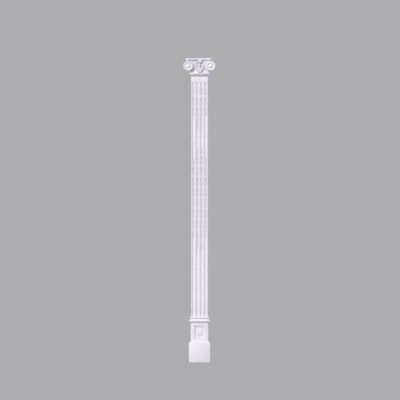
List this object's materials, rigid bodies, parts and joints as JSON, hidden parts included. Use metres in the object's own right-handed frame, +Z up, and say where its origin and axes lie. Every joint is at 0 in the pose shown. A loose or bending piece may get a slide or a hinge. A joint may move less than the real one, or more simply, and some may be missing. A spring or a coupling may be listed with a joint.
{
  "type": "pilaster",
  "caption": "Slim fluted wall pilaster with leaf and rosette chains in its flutes, a panelled base and a capital with corner volutes.",
  "frame": {"origin": "on the flat back of the shaft, at the middle of its width and height", "axes": "+Z up along the shaft, +Y from the front through the flat back into the wall, +X to the right for someone who faces the front"},
  "size_m": [0.182, 0.047, 1.7186],
  "materials": {
    "primer_base": "white satin primer on rigid polyurethane foam",
    "primer_shaft": "white satin primer on rigid polyurethane foam",
    "primer_capital": "white satin primer on rigid polyurethane foam"
  },
  "bodies": {
    "root": {"base": "primer_base", "shaft": "primer_shaft", "capital": "primer_capital"}
  },
  "joints": []
}
